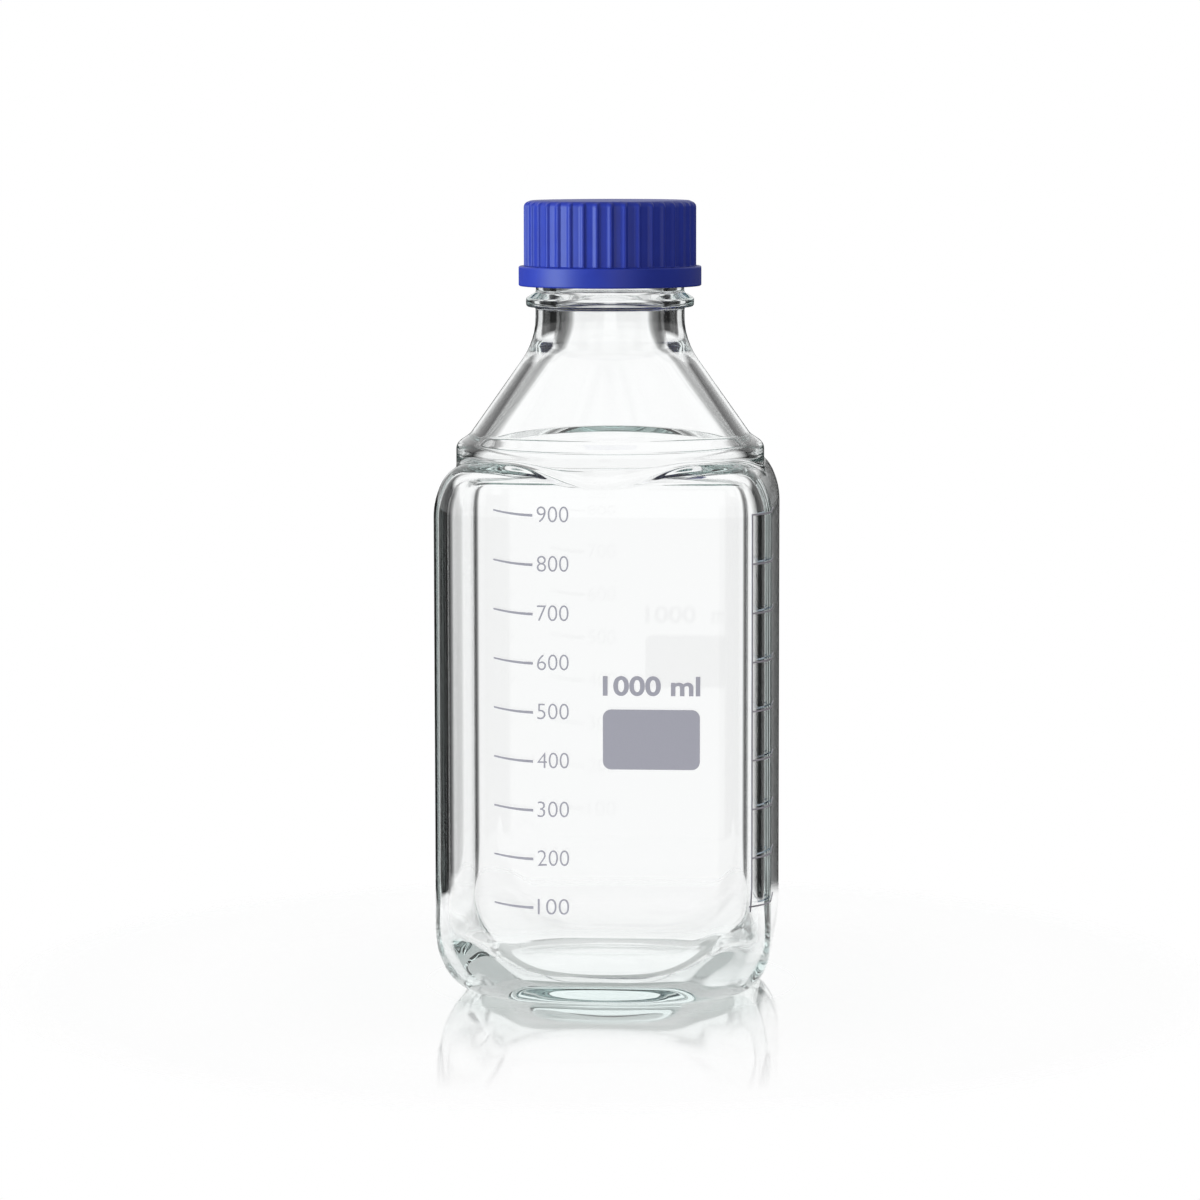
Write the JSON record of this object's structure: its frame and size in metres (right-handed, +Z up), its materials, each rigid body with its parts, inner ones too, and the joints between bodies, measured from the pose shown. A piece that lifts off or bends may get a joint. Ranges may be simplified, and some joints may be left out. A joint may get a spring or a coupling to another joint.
{
  "type": "square media bottle",
  "caption": "Square clear glass laboratory bottle with rounded corners, conical shoulder, round threaded neck, pouring ring and ribbed blue screw cap, for holding and pouring liquids.",
  "frame": {"origin": "middle of the base, on the surface that the bottle stands on", "axes": "+Z up along the axis of the neck; the face with the printed scale looks along -Y"},
  "size_m": [0.0951, 0.0951, 0.2255],
  "materials": {
    "clear_glass": "fire-polished, clear",
    "grey_enamel": "fired opaque enamel",
    "blue_polypropylene": "moulded, satin"
  },
  "bodies": {
    "glass": {"bottle": "clear_glass", "enamel_print": "grey_enamel"},
    "ring": {"pouring_ring": "blue_polypropylene"},
    "cap": {"screw_cap": "blue_polypropylene"}
  },
  "joints": [
    {"name": "cap_turn", "type": "hinge", "parent": "glass", "child": "ring", "pos_m": [0, 0, 0.2218], "axis": [0, 0, 1], "range_deg": [0, 2880]},
    {"name": "cap_rise", "type": "slide", "parent": "ring", "child": "cap", "axis": [0, 0, 1], "range_m": [0, 0.032]}
  ],
  "couplings": [
    {"joint": "cap_rise", "follows": "cap_turn", "m_per_rad": 0.00063662}
  ]
}
